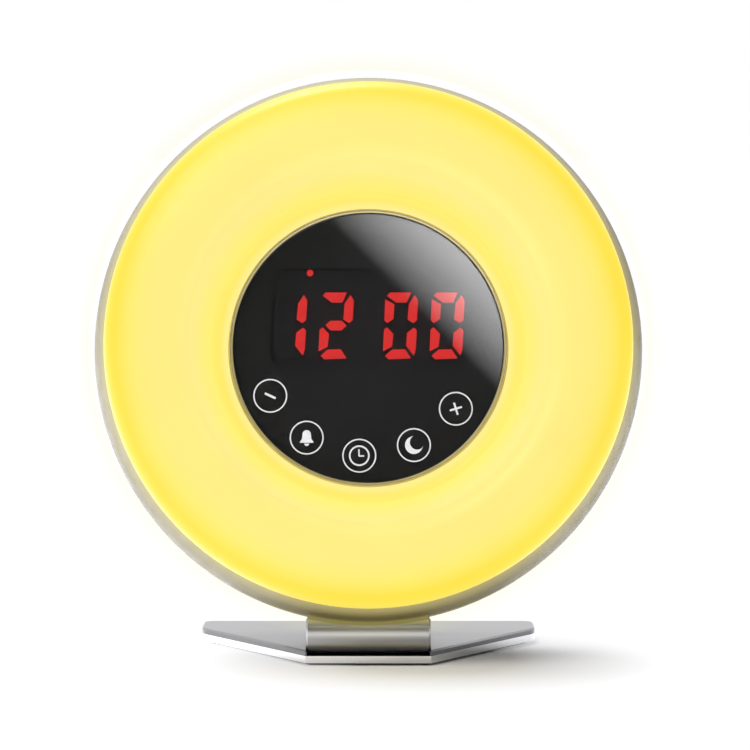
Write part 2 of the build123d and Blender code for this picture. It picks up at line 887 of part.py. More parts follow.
def light_dish():
    """White reflector dish that carries the lamps and, in its inner tube, the display."""
    floor_radius = dish_outside - dish_flare
    dish = ring(floor_radius, tube_inside, dish_floor_back, dish_floor_front)
    dish += ring(tube_outside, tube_inside, dish_floor_back - dish_skirt, tube_top)
    wall = Polyline(
        (floor_radius - dish_wall, dish_floor_back),
        (floor_radius, dish_floor_back),
        (dish_outside, -dish_top),
        (dish_outside - dish_wall, -dish_top),
        close=True,
    )
    dish += spin(wall)
    ledge_top = board_front + board_ledge_thickness
    dish += ring(tube_inside + fit_gap, tube_inside - board_ledge_width, board_front, ledge_top)
    for x, y in board_screw_points():
        dish += post(x, y, board_ear_radius, board_front, board_front + board_ear_length)
    boss_top = dish_floor_back + fit_gap
    for x, y in polar_points(housing_screw_ring, housing_screw_angles):
        dish += post(x, y, housing_boss_radius, -housing_boss_joint, boss_top)
    for x, y in led_screw_points():
        dish += post(x, y, led_boss_radius, dish_floor_back - led_boss_length, boss_top)

    for x, y in board_screw_points():
        ear_top = board_front + board_ear_length
        dish -= post(x, y, m25_shank + pilot_clearance, board_front, ear_top)
    for x, y in polar_points(housing_screw_ring, housing_screw_angles):
        dish -= post(x, y, m3_shank + pilot_clearance, -housing_boss_joint, dish_floor_back)
    for x, y in led_screw_points():
        low = dish_floor_back - led_boss_length
        dish -= post(x, y, m25_shank + pilot_clearance, low, dish_floor_front)
    x, y = polar(led_wire_ring, led_wire_angle)
    return dish - post(x, y, led_wire_hole_radius, dish_floor_back, dish_floor_front)


def led_board():
    outer = dish_outside - dish_flare - dish_wall - led_board_outer_gap
    board = ring(outer, tube_outside + led_board_inner_gap, dish_floor_front, led_board_front)
    for x, y in led_screw_points():
        board -= post(x, y, m25_shank + hole_clearance, dish_floor_front, led_board_front)
    return board


def leds():
    """Ring of small square lamps that shine into the diffuser."""
    lamp = block(led_ring_radius, 0, led_size, led_size, led_board_front, led_board_front + led_height)
    return [Rot(0, 0, 360 * number / led_count) * lamp for number in range(led_count)]


def led_board_screws():
    body = screw(m25_head, m25_head_height, m25_shank, board_thickness + led_boss_length)
    turned = Rot(180, 0, 0) * body
    return [Pos(x, y, led_board_front) * turned for x, y in led_screw_points()]


# ---------------------------------------------------------------- speaker
def at_speaker(shape):
    """Move a solid drawn about the head's axis to the speaker's place."""
    return Pos(0, speaker_y, speaker_front) * shape


def speaker_gasket():
    soft = ring(speaker_radius, speaker_radius - gasket_width, -gasket_thickness, 0)
    return at_speaker(soft)


def speaker_frame():
    """Pressed basket: flange, conical wall with four windows, and the seat of the magnet."""
    wide = speaker_radius - gasket_width
    narrow = speaker_magnet_radius - speaker_basket_wall
    top = speaker_flange + speaker_basket_depth
    frame = ring(speaker_radius, wide, 0, speaker_flange)
    outside = Pos(0, 0, top / 2) * Cone(wide + speaker_basket_wall, narrow + speaker_basket_wall, top)
    inside = Pos(0, 0, (top - speaker_basket_wall) / 2) * Cone(wide, narrow, top - speaker_basket_wall)
    frame += outside - inside
    window = block(wide, 0, speaker_radius, speaker_dome_radius, 2 * speaker_flange, top - speaker_flange)
    for angle in speaker_window_angles:
        frame -= Rot(0, 0, angle) * window
    terminal = block(wide, 0, 2 * gasket_width, terminal_size, speaker_flange, terminal_size)
    return at_speaker(frame + (terminal - inside))


def speaker_magnet():
    top = speaker_flange + speaker_basket_depth
    return at_speaker(post(0, 0, speaker_magnet_radius, top, top + speaker_magnet_height))


def speaker_cone():
    """Paper cone with a domed middle and the rolled surround at its rim."""
    depth = speaker_basket_depth * speaker_cone_share
    wall = speaker_basket_wall / 2
    outer = Pos(0, 0, depth / 2) * Cone(speaker_cone_radius, speaker_dome_radius, depth)
    inner = Pos(0, 0, depth / 2 - wall) * Cone(speaker_cone_radius, speaker_dome_radius, depth)
    cone = outer - inner
    dome = Pos(0, 0, depth) * Sphere(speaker_dome_radius) & block(
        0, 0, 3 * speaker_dome_radius, 3 * speaker_dome_radius, depth / 3, depth - wall
    )
    return at_speaker(cone + dome)


def speaker_screws():
    seat = speaker_front + speaker_flange
    length = seat - back_outside - speaker_screw_skin - fit_gap
    turned = Rot(180, 0, 0) * screw(speaker_screw_head, m25_head_height, m25_shank, length)
    return [Pos(x, y, seat) * turned for x, y in speaker_screw_points()]


# ------------------------------------------------------------ battery bay
def battery_door():
    """Flush cover with two hooks at its lower edge and a sprung tongue at its upper edge."""
    plan = Pos(0, bay_y, back_outside) * RectangleRounded(door_width, door_height, door_corner)
    door = extrude(plan, door_thickness)
    round_edge = door.edges().filter_by(Axis.X).group_by(Axis.Y)[0]
    door = fillet(round_edge, door_thickness / 2 - fit_gap / 2)
    leg_top = door_inside + hook_reach
    for x in (-hook_x, hook_x):
        door += block(x, door_bottom + hook_leg / 2, hook_width, hook_leg, door_inside - fit_gap, leg_top)
        toe_middle = door_bottom + (hook_leg - hook_toe) / 2
        toe_back = leg_top - hook_toe_thickness
        door += block(x, toe_middle, hook_width, hook_leg + hook_toe, toe_back, leg_top)
    top = bay_y + door_height / 2
    for x in (-latch_half_width, latch_half_width):
        door -= block(x, top - latch_length / 2, latch_slit, latch_length, back_outside, door_inside)
    grip = block(0, top - latch_length / 2, latch_half_width, latch_slit, back_outside, door_inside)
    return door - (grip - block(0, top, door_width, door_height, back_outside + grip_depth / 2, 0))


def cell_rows():
    """Rows of the two cells, with the side that their raised contact points to."""
    return [(bay_y - cell_pitch / 2, 1), (bay_y + cell_pitch / 2, -1)]


def backup_cells():
    """Two AAA cells that keep the time when the mains fails."""
    cells = []
    for y, side in cell_rows():
        tip = bay_length / 2 - contact_thickness
        body_middle = tip - cell_nub_length - cell_length / 2
        body = Pos(body_middle, 0, 0) * Rot(0, 90, 0) * Cylinder(cell_radius, cell_length)
        nub = Pos(tip - cell_nub_length / 2, 0, 0) * Rot(0, 90, 0) * Cylinder(
            cell_nub_radius, cell_nub_length
        )
        turn = Rot(0, 0, 0 if side > 0 else 180)
        cells.append(Pos(0, y, cell_axis) * turn * (body + nub))
    return cells


def battery_springs():
    """Conical springs at the flat ends of the cells, as hollow cones."""
    springs = []
    for y, side in cell_rows():
        outer = Cone(spring_wide, spring_narrow, spring_length)
        inner = Cone(spring_wide - spring_wall, spring_narrow - spring_wall, spring_length)
        x = -side * (bay_length / 2 - contact_thickness - spring_length / 2)
        springs.append(Pos(x, y, cell_axis) * Rot(0, side * 90, 0) * (outer - inner))
    return springs


def battery_contacts():
    """One plate that bridges both cells, and two plates with lugs through the bay's floor."""
    low = cell_axis - contact_size / 2
    high = cell_axis + contact_size / 2
    x = bay_length / 2 - contact_thickness / 2
    plates = [block(x, bay_y, contact_thickness, cell_pitch + contact_size, low, high)]
    for y in lug_rows():
        plate = block(-x, y, contact_thickness, contact_size, low, bay_floor - fit_gap)
        lug = block(-x, y, contact_thickness, lug_width, high, bay_floor + bay_wall + lug_length)
        plates.append(plate + lug)
    return plates


# ---------------------------------------------------------------- buttons
def button_cap():
    """Round cap with a dished face, held in by a flange behind the housing's wall."""
    cap = post(0, 0, button_radius, button_front, button_flange_front)
    cap += post(0, 0, button_radius + button_flange, button_flange_back, button_flange_front)
    hollow_radius = (button_radius**2 + button_dish**2) / (2 * button_dish)
    hollow = Pos(0, 0, button_front + button_dish - hollow_radius) * Sphere(hollow_radius)
    return cap - hollow


def switch_body():
    """Tactile switch with a blind hole for its plunger."""
    body = block(0, 0, switch_size, switch_size, switch_face, switch_board_back)
    hole_depth = plunger_hold + button_travel + plunger_clearance
    hole_radius = plunger_radius + plunger_clearance
    return body - post(0, 0, hole_radius, switch_face, switch_face + hole_depth)


def switch_plunger():
    return post(0, 0, plunger_radius, button_flange_front, switch_face + plunger_hold)


def switch_board(middle):
    board = block(
        *middle,
        switch_board_width,
        switch_board_height,
        switch_board_back,
        switch_board_back + board_thickness,
    )
    for x, y in switch_post_points(middle):
        high = switch_board_back + board_thickness
        board -= post(x, y, m25_shank + hole_clearance, switch_board_back, high)
    return board


def switch_board_screws():
    body = Rot(180, 0, 0) * screw(m25_head, m25_head_height, m25_shank, 3 * board_thickness)
    top = switch_board_back + board_thickness
    screws = []
    for middle in button_points().values():
        screws += [Pos(x, y, top) * body for x, y in switch_post_points(middle)]
    return screws


# ------------------------------------------------------------ power inlet
def dc_jack():
    """Barrel socket: body, nose in the housing's hole, bore and centre pin."""
    body = block(jack_x, jack_y, jack_size, jack_size, back_inside, jack_back)
    body += post(jack_x, jack_y, jack_nose_radius, back_inside - jack_nose_length, back_inside)
    mouth = back_inside - jack_nose_length
    body -= post(jack_x, jack_y, jack_bore_radius, mouth, mouth + jack_bore_depth)
    return body + post(
        jack_x, jack_y, jack_pin_radius, mouth + jack_pin_inset, mouth + jack_bore_depth
    )


def power_board_blank(clearance):
    """Outline of the power board, grown by a clearance, standing on the housing's back."""
    return block(
        jack_x,
        power_board_y,
        power_board_width + 2 * clearance,
        board_thickness + 2 * clearance,
        back_inside,
        back_inside + power_board_length + clearance,
    )


def power_board():
    return Pos(0, 0, power_board_lift) * power_board_blank(0)


# ----------------------------------------------------------------- screws
def housing_screws():
    body = screw(m3_head, m3_head_height, m3_shank, housing_screw_length)
    points = polar_points(housing_screw_ring, housing_screw_angles)
    return [Pos(x, y, -housing_screw_seat) * body for x, y in points]


# ------------------------------------------------------------------ wires
def wire_to_socket(start, name):
    """Wire from a point near the back up to one of the main board's sockets."""
    end = (*socket_points[name], board_back - socket_height)
    return wire(start, end, (start[2] + end[2]) / 2)


def speaker_lead():
    start = (speaker_radius - gasket_width, speaker_y, speaker_front + terminal_size)
    return wire_to_socket(start, "speaker")


def battery_leads():
    """Straight wire from each lug of the battery bay to the main board."""
    x = -bay_length / 2 + contact_thickness / 2
    low = bay_floor + bay_wall + lug_length
    return [post(x, y, wire_radius, low, board_back) for y in lug_rows()]


def power_lead():
    start_z = back_inside + power_board_lift + power_board_length
    start = (jack_x - power_board_width / 4, power_board_y, start_z)
    return wire_to_socket(start, "power")


def switch_lead(name):
    x, y = button_points()[name]
    start = (x, y - switch_board_height / 6, switch_board_back + board_thickness)
    return wire_to_socket(start, name + "_switch")


def led_lead():
    start = (*polar(led_wire_ring, led_wire_angle), dish_floor_front)
    end = (*socket_points["led"], board_back - socket_height)
    return wire(start, end, start[2] - led_wire_drop)


# ----------------------------------------------------------------- output
def in_head(shape):
    """Lean one solid, or each of a list of solids, back with the head."""
    if isinstance(shape, list):
        return [tilt_back(piece) for piece in shape]
    return tilt_back(shape)


def switch_set(name):
    """Button, switch, plunger, board and wire of one rear control."""
    middle = button_points()[name]
    place = Pos(*middle, 0)
    return {
        name + "_button": place * button_cap(),
        name + "_switch": place * switch_body(),
        name + "_switch_plunger": place * switch_plunger(),
        name + "_switch_board": switch_board(middle),
        name + "_switch_lead": switch_lead(name),
    }


def head_parts():
    parts = {
        "rear_housing": rear_housing(),
        "light_dish": light_dish(),
        "diffuser_ring": diffuser_ring(),
        "bezel_ring": bezel_ring(),
        "display_lens": display_lens(),
        "legend_film": legend_film(),
        "display_module": display_module(),
        "display_segments_lit": display_segments_lit(),
        "display_segments_unlit": display_segments_unlit(),
        "main_board": main_board(),
        "board_components": board_components(),
        "main_board_screws": main_board_screws(),
        "touch_springs": touch_springs(),
        "led_board": led_board(),
        "leds": leds(),
        "led_board_screws": led_board_screws(),
        "speaker_gasket": speaker_gasket(),
        "speaker_frame": speaker_frame(),
        "speaker_magnet": speaker_magnet(),
        "speaker_cone": speaker_cone(),
        "speaker_screws": speaker_screws(),
        "battery_door": battery_door(),
        "backup_cells": backup_cells(),
        "battery_springs": battery_springs(),
        "battery_contacts": battery_contacts(),
        "switch_board_screws": switch_board_screws(),
        "dc_jack": dc_jack(),
        "power_board": power_board(),
        "housing_screws": housing_screws(),
        "speaker_lead": speaker_lead(),
        "battery_leads": battery_leads(),
        "power_lead": power_lead(),
        "led_lead": led_lead(),
    }
    for name in button_points():
        parts.update(switch_set(name))
    return {name: in_head(shape) for name, shape in parts.items()}


def stand_parts():
    return {
        "foot_pad": foot_pad(),
        "foot_plate": foot_plate(),
        "foot_cover": foot_cover(),
        "stand_column": stand_column(),
        "column_screws": column_screws(),
        "neck_screws": neck_screws(),
    }


def save(name, shape):
    """Write one node; a list becomes a group of separate solids."""
    solids = []
    for piece in shape if isinstance(shape, list) else [shape]:
        solids += piece.solids()
    group = solids[0] if len(solids) == 1 else Compound(children=solids)
    export_step(group, os.path.join("parts", name + ".step"))


os.makedirs("parts", exist_ok=True)
for part_name, part_shape in {**stand_parts(), **head_parts()}.items():
    save(part_name, part_shape)
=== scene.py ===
import bmesh
import bpy
import json
import math
from mathutils import Matrix, Vector


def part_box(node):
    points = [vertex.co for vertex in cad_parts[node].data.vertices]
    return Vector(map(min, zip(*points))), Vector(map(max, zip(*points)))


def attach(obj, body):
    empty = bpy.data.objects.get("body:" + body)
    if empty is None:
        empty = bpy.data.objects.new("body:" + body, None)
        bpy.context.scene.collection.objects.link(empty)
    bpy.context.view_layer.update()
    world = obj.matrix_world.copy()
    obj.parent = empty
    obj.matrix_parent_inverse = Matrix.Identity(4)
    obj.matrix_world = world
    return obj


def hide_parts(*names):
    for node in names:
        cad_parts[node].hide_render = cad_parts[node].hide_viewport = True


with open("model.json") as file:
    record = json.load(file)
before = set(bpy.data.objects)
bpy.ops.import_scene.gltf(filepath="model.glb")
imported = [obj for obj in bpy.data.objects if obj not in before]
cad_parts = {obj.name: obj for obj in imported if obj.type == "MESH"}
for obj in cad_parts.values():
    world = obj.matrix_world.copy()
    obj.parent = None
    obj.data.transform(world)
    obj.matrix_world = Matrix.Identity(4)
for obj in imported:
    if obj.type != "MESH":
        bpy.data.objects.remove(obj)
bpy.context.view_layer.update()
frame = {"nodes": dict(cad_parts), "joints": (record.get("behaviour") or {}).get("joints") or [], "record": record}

mm = 0.001

# ------------------------------------------------------------- head frame
# In the head's frame X points right, Y up along the face and Z forward out of the face.
# Its origin lies on the seam between diffuser and housing.
lens_recess = 10.5 * mm
lens_thickness = 2.0 * mm
lens_middle_depth = -lens_recess - lens_thickness / 2
press_joint = next(joint for joint in frame["joints"] if joint["name"] == "light_button_press")
forward = Vector(press_joint["axis"]).normalized()
sideways = Vector((1, 0, 0))
upward = forward.cross(sideways)
lens_low, lens_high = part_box("display_lens")
head_middle = (lens_low + lens_high) / 2 - forward * lens_middle_depth
head_turn = Matrix((sideways, upward, forward)).transposed().to_4x4()
head_matrix = Matrix.Translation(head_middle) @ head_turn
head_lean = math.acos(-forward.y)

lens_radius = (lens_high.x - lens_low.x) / 2
lens_edge = 0.3 * mm
film_gap = 0.06 * mm          # air between film and lens, where the icons lie
icon_lift = 0.01 * mm         # of the icons off the black film
film_face = -lens_recess - lens_thickness + icon_lift
outer_radius = 81.1 * mm      # of the diffuser

# ------------------------------------------------------------- touch keys
icon_ring_middle = (-0.5 * mm, -0.3 * mm)
icon_angles = {"dim": 206, "alarm": 236, "time": 266, "night": 296, "bright": 326}
icon_ring_radius = 33.2 * mm
icon_radius = 5.25 * mm
icon_line = 0.4 * mm
icon_thickness = 0.03 * mm

# ------------------------------------------------------------- materials
along_x = (0.03, 1, 1)        # stretch that draws a metal's grain out along X
metal_grain = 1600.0          # noise scales are per metre
metal_relief = 0.001 * mm
plastic_grain = 2500.0
painted_glow_depth = 16 * mm          # the housing's painted glow reaches this far behind the seam


class Paint:
    """A procedural material in the making: its nodes and its main shader."""

    def __init__(self, name):
        self.material = bpy.data.materials.new(name)
        self.material.use_nodes = True
        self.tree = self.material.node_tree
        self.shader = self.tree.nodes["Principled BSDF"]

    def node(self, kind, **settings):
        made = self.tree.nodes.new(kind)
        for key, value in settings.items():
            setattr(made, key, value)
        return made

    def link(self, output, target):
        self.tree.links.new(output, target)

    def set(self, **sockets):
        """Set sockets of the main shader; an underscore in a name stands for a space."""
        for key, value in sockets.items():
            self.shader.inputs[key.replace("_", " ")].default_value = value
        return self

    def split(self, vector):
        """The X, Y and Z outputs of a vector, by name."""
        made = self.node("ShaderNodeSeparateXYZ")
        self.link(vector, made.inputs["Vector"])
        return made.outputs

    def position(self, scale=(1, 1, 1)):
        """Object position in metres, stretched by scale."""
        place = self.node("ShaderNodeTexCoord")
        mapping = self.node("ShaderNodeMapping")
        mapping.inputs["Scale"].default_value = scale
        self.link(place.outputs["Object"], mapping.inputs["Vector"])
        return mapping.outputs["Vector"]

    def head_position(self):
        """Position in the head's own frame, in metres."""
        place = self.node("ShaderNodeTexCoord")
        mapping = self.node("ShaderNodeMapping", vector_type="TEXTURE")
        mapping.inputs["Location"].default_value = head_middle
        mapping.inputs["Rotation"].default_value = (math.pi / 2 - head_lean, 0, 0)
        self.link(place.outputs["Object"], mapping.inputs["Vector"])
        return mapping.outputs["Vector"]

    def noise(self, scale, detail=4.0, stretch=(1, 1, 1)):
        texture = self.node("ShaderNodeTexNoise")
        texture.inputs["Scale"].default_value = scale
        texture.inputs["Detail"].default_value = detail
        texture.inputs["Roughness"].default_value = 0.55
        self.link(self.position(stretch), texture.inputs["Vector"])
        return texture.outputs["Fac"]

    def spread(self, value, low, high, start=0.3, end=0.7):
        """Map a value from start..end to low..high."""
        band = self.node("ShaderNodeMapRange")
        band.inputs["From Min"].default_value = start
        band.inputs["From Max"].default_value = end
        band.inputs["To Min"].default_value = low
        band.inputs["To Max"].default_value = high
        self.link(value, band.inputs["Value"])
        return band.outputs["Result"]

    def ramp(self, value, stops):
        """Colour ramp through (position, colour) stops."""
        made = self.node("ShaderNodeValToRGB")
        colours = made.color_ramp.elements
        while len(colours) < len(stops):
            colours.new(0.5)
        for element, (place, colour) in zip(colours, stops):
            element.position = place
            element.color = (*colour, 1)
        self.link(value, made.inputs["Fac"])
        return made.outputs["Color"]

    def math(self, operation, first, second):
        made = self.node("ShaderNodeMath", operation=operation)
        self.link(first, made.inputs[0])
        self.link(second, made.inputs[1])
        return made.outputs[0]

    def vary_colour(self, colour, amount, value):
        """Colour that drifts darker and lighter by amount."""
        low = tuple(channel * (1 - amount) for channel in colour)
        high = tuple(min(1.0, channel * (1 + amount)) for channel in colour)
        self.link(self.ramp(value, [(0.3, low), (0.7, high)]), self.shader.inputs["Base Color"])
        return self

    def vary_roughness(self, low, high, value):
        self.link(self.spread(value, low, high), self.shader.inputs["Roughness"])
        return self

    def bump(self, value, depth, strength=1.0, flat=False):
        """Surface relief of the given depth in metres; flat ignores smoothing across edges."""
        relief = self.node("ShaderNodeBump")
        if flat:
            face = self.node("ShaderNodeNewGeometry")
            self.link(face.outputs["True Normal"], relief.inputs["Normal"])
        relief.inputs["Strength"].default_value = strength
        relief.inputs["Distance"].default_value = depth
        self.link(value, relief.inputs["Height"])
        self.link(relief.outputs["Normal"], self.shader.inputs["Normal"])
        return self


def moulded_plastic(name, colour, roughness, relief=0.02 * mm, flat=False):
    paint = Paint(name)
    paint.vary_colour(colour, 0.04, paint.noise(60.0))
    paint.vary_roughness(roughness - 0.06, roughness + 0.06, paint.noise(220.0))
    return paint.bump(paint.noise(plastic_grain, detail=2.0), relief, 0.5, flat)


def satin_metal(name, colour, roughness, stretch=(1, 1, 1)):
    """Metal with a fine, even grain; a stretch below 1 draws the grain out along that axis."""
    paint = Paint(name).set(Metallic=1.0)
    grain = paint.noise(metal_grain, detail=3.0, stretch=stretch)
    paint.vary_colour(colour, 0.03, grain)
    paint.vary_roughness(roughness - 0.03, roughness + 0.04, grain)
    return paint.bump(grain, metal_relief, 0.3)


def cover_metal_painted_shade():
    """Satin metal with painted shade: its upright edges are painted darker than its top."""
    paint = Paint("satin_plate").set(Metallic=1.0)
    grain = paint.noise(metal_grain, detail=3.0, stretch=along_x)
    face = paint.node("ShaderNodeNewGeometry")
    # painted shade: the base colour darkens as a face turns from facing up to upright
    rise = paint.split(face.outputs["True Normal"])["Z"]
    level = paint.spread(rise, 0.0, 1.0, 0.1, 0.6)
    shade = paint.math("ADD", level, paint.spread(grain, -0.04, 0.04))
    stops = [(0.05, (0.13, 0.13, 0.135)), (0.95, (0.37, 0.37, 0.38))]
    paint.link(paint.ramp(shade, stops), paint.shader.inputs["Base Color"])
    paint.vary_roughness(0.30, 0.36, grain)
    return paint.bump(grain, metal_relief, 0.3)


def head_radius(paint):
    """Distance from the head's axis as a share of the diffuser's outer radius."""
    flat = paint.node("ShaderNodeVectorMath", operation="MULTIPLY")
    flat.inputs[1].default_value = (1 / outer_radius, 1 / outer_radius, 0)
    length = paint.node("ShaderNodeVectorMath", operation="LENGTH")
    paint.link(paint.head_position(), flat.inputs[0])
    paint.link(flat.outputs["Vector"], length.inputs[0])
    return length.outputs["Value"]


def head_depth(paint):
    """Signed distance in front of the seam, in metres."""
    return paint.split(paint.head_position())["Z"]


def diffuser_material():
    """Milky plastic lit from inside, with painted shade and highlights in its glow: pale inside and on the crest
    as painted highlights, deeper yellow further out as painted shade.
    """
    paint = Paint("milky_glow").set(Specular_IOR_Level=0.25)
    # painted highlights and shade in the lamp's glow: pale bands at the inner cove and crest, deeper yellow bands
    # where the dome curves away
    painted_glow = [
        (0.530, (1.00, 0.87, 0.32)),
        (0.548, (1.00, 0.86, 0.25)),
        (0.569, (1.00, 0.82, 0.14)),
        (0.595, (1.00, 0.84, 0.17)),
        (0.664, (1.00, 0.86, 0.27)),
        (0.720, (1.00, 0.85, 0.24)),
        (0.835, (1.00, 0.84, 0.22)),
        (0.892, (1.00, 0.83, 0.17)),
        (0.930, (1.00, 0.80, 0.105)),
        (0.956, (1.00, 0.77, 0.065)),
        (0.979, (1.00, 0.79, 0.07)),
        (0.997, (1.00, 0.80, 0.12)),
    ]
    colour = paint.ramp(head_radius(paint), painted_glow)
    body = paint.node("ShaderNodeVectorMath", operation="MULTIPLY")
    body.inputs[1].default_value = (0.07, 0.065, 0.05)
    paint.link(colour, body.inputs[0])
    paint.link(body.outputs["Vector"], paint.shader.inputs["Base Color"])
    paint.link(colour, paint.shader.inputs["Emission Color"])
    strength = paint.spread(paint.noise(35.0), 0.93, 0.96)
    paint.link(strength, paint.shader.inputs["Emission Strength"])
    paint.vary_roughness(0.36, 0.46, paint.noise(300.0))
    return paint.bump(paint.noise(1800.0, detail=2.0), 0.01 * mm, 0.4).material


def housing_material():
    """White plastic painted a dark warm grey as painted shade tinted by the lamp's yellow light, with a painted
    glow next to the seam standing in for a little of the lamp's light coming through.
    """
    # painted shade: the white shell gets a dark warm grey colour
    paint = moulded_plastic("housing_painted_shade_and_glow", (0.25, 0.235, 0.18), 0.45, relief=0.008 * mm)
    # painted glow: emission that fades in towards the seam, standing in for the lamp's light coming through the
    # plastic
    nearness = paint.spread(head_depth(paint), 0.0, 1.0, -painted_glow_depth, 0.0)
    painted_glow = [(0.0, (0, 0, 0)), (0.6, (0.15, 0.115, 0.025)), (1.0, (0.50, 0.42, 0.11))]
    paint.link(paint.ramp(nearness, painted_glow), paint.shader.inputs["Emission Color"])
    paint.set(Emission_Strength=0.6, Specular_IOR_Level=0.2)
    return paint.material


def lens_material():
    """Smoked clear acrylic."""
    paint = Paint("smoked_acrylic").set(Transmission_Weight=1.0, IOR=1.49, Roughness=0.02)
    paint.vary_colour((0.50, 0.50, 0.51), 0.02, paint.noise(40.0))
    return paint.bump(paint.noise(4000.0, detail=1.0), 0.0001 * mm, 0.05, flat=True).material


def lamp_material(name, colour, strength):
    """Lit surface whose light drifts slightly from place to place."""
    paint = Paint(name).set(Roughness=0.5)
    flicker = paint.noise(500.0)
    paint.vary_colour(colour, 0.05, flicker)
    paint.set(Emission_Color=(*colour, 1))
    drift = paint.spread(flicker, strength * 0.94, strength * 1.06)
    paint.link(drift, paint.shader.inputs["Emission Strength"])
    return paint.material


def board_material():
    """Solder mask over faint tracks."""
    paint = Paint("solder_mask").set(Coat_Weight=0.4)
    tracks = paint.noise(260.0, detail=1.0, stretch=(1, 0.2, 1))
    paint.vary_colour((0.02, 0.16, 0.06), 0.35, tracks)
    paint.vary_roughness(0.3, 0.45, tracks)
    return paint.bump(tracks, 0.03 * mm, 0.5).material


def foam_material():
    paint = Paint("black_foam")
    cells = paint.noise(3000.0, detail=2.0)
    paint.vary_colour((0.03, 0.03, 0.032), 0.3, cells)
    paint.vary_roughness(0.75, 0.9, cells)
    return paint.bump(cells, 0.08 * mm, 0.8).material


def paper_material():
    paint = Paint("paper_cone")
    fibres = paint.noise(1500.0, detail=6.0)
    paint.vary_colour((0.05, 0.045, 0.04), 0.25, fibres)
    paint.vary_roughness(0.7, 0.85, fibres)
    return paint.bump(fibres, 0.05 * mm, 0.8).material


plastics = {
    # slot: name, colour, roughness
    "reflector_white": ("reflector_white", (0.85, 0.84, 0.80), 0.5),
    # black_plastic and dark_segment are lifted to the black film's dark grey, which holds painted reflection, so
    # the display module doesn't show through the lens
    "black_plastic": ("black_plastic", (0.079, 0.079, 0.080), 0.6),
    "dark_segment": ("dark_segment", (0.080, 0.077, 0.077), 0.6),
    "circuit_board_white": ("white_solder_mask", (0.82, 0.82, 0.79), 0.4),
    "black_component": ("black_component", (0.02, 0.02, 0.02), 0.55),
    "pressed_steel": ("black_paint", (0.03, 0.03, 0.03), 0.4),
    "ferrite": ("ferrite", (0.05, 0.05, 0.055), 0.6),
    "cell_jacket": ("cell_jacket", (0.06, 0.07, 0.08), 0.35),
    "black_wire": ("black_wire", (0.015, 0.015, 0.015), 0.45),
    "button_grey": ("button_grey", (0.25, 0.25, 0.24), 0.42),
}
metals = {
    # slot: name, colour, roughness, grain
    "champagne_metal": ("champagne_metal", (0.62, 0.56, 0.36), 0.34),
    "zinc_screw": ("zinc_screw", (0.62, 0.62, 0.62), 0.32),
    "polished_plate": ("polished_plate", (0.56, 0.56, 0.57), 0.14, along_x),
    "gunmetal": ("gunmetal", (0.33, 0.33, 0.34), 0.31, along_x),
}
# dark grey: the film's own black lifted as painted reflection of the room in the lens
black_film = moulded_plastic("black_film", (0.084, 0.084, 0.084), 0.6, 0.002 * mm, flat=True)
finish = {
    "warm_white_abs": housing_material(),
    "milky_diffuser": diffuser_material(),
    "smoked_acrylic": lens_material(),
    "black_film": black_film.material,
    "red_led": lamp_material("red_led", (1.0, 0.045, 0.04), 1.08),
    "circuit_board": board_material(),
    "lamp_yellow": lamp_material("lamp_yellow", (1.0, 0.80, 0.35), 1.5),
    "black_foam": foam_material(),
    "paper_cone": paper_material(),
    "satin_plate": cover_metal_painted_shade().material,
}
finish.update({slot: moulded_plastic(*values).material for slot, values in plastics.items()})
finish.update({slot: satin_metal(*values).material for slot, values in metals.items()})

for part in frame["record"]["subparts"]:
    cad_object = frame["nodes"][part["node"]]
    cad_object.data.materials.clear()
    cad_object.data.materials.append(finish[part["material_slot"]])


# --------------------------------------------------------- mesh helpers
def new_piece(name, mesh_builder, body):
    """Finish a bmesh drawn in the head's frame as a piece that rides on a body."""
    mesh = bpy.data.meshes.new(name)
    bmesh.ops.recalc_face_normals(mesh_builder, faces=mesh_builder.faces)
    mesh_builder.to_mesh(mesh)
    mesh_builder.free()
    mesh.transform(head_matrix)
    piece = bpy.data.objects.new(name, mesh)
    bpy.context.scene.collection.objects.link(piece)
    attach(piece, body)
    return piece


def circle(radius, middle=(0, 0), count=64, start=0.0, sweep=360.0):
    """Points on an arc; a full circle by default."""
    full = sweep == 360.0
    steps = count if full else count - 1
    points = []
    for number in range(count):
        angle = math.radians(start + sweep * number / steps)
        points.append((middle[0] + radius * math.cos(angle), middle[1] + radius * math.sin(angle)))
    return points


def plate(builder, outline, place, turn=0.0, hole=None):
    """Thin plate from a closed outline, or the band between an outline and its hole."""
    spin = Matrix.Rotation(math.radians(turn), 3, "Z")
    rows = []
    for loop in [outline] + ([hole] if hole else []):
        for depth in (film_face, film_face + icon_thickness):
            verts = []
            for x, y in loop:
                point = spin @ Vector((x, y, 0))
                verts.append(builder.verts.new((place[0] + point.x, place[1] + point.y, depth)))
            rows.append(verts)
    count = len(outline)
    if not hole:
        builder.faces.new(rows[0])
        builder.faces.new(rows[1])
        pairs = [(rows[0], rows[1])]
    else:
        pairs = [(rows[0], rows[1]), (rows[2], rows[3]), (rows[0], rows[2]), (rows[1], rows[3])]
    for low, high in pairs:
        for number in range(count):
            after = (number + 1) % count
            builder.faces.new((low[number], low[after], high[after], high[number]))


def bar(builder, length, width, place, turn, shift=(0, 0)):
    half_length, half_width = length / 2, width / 2
    x, y = shift
    outline = [
        (x - half_length, y - half_width),
        (x + half_length, y - half_width),
        (x + half_length, y + half_width),
        (x - half_length, y + half_width),
    ]
    plate(builder, outline, place, turn)


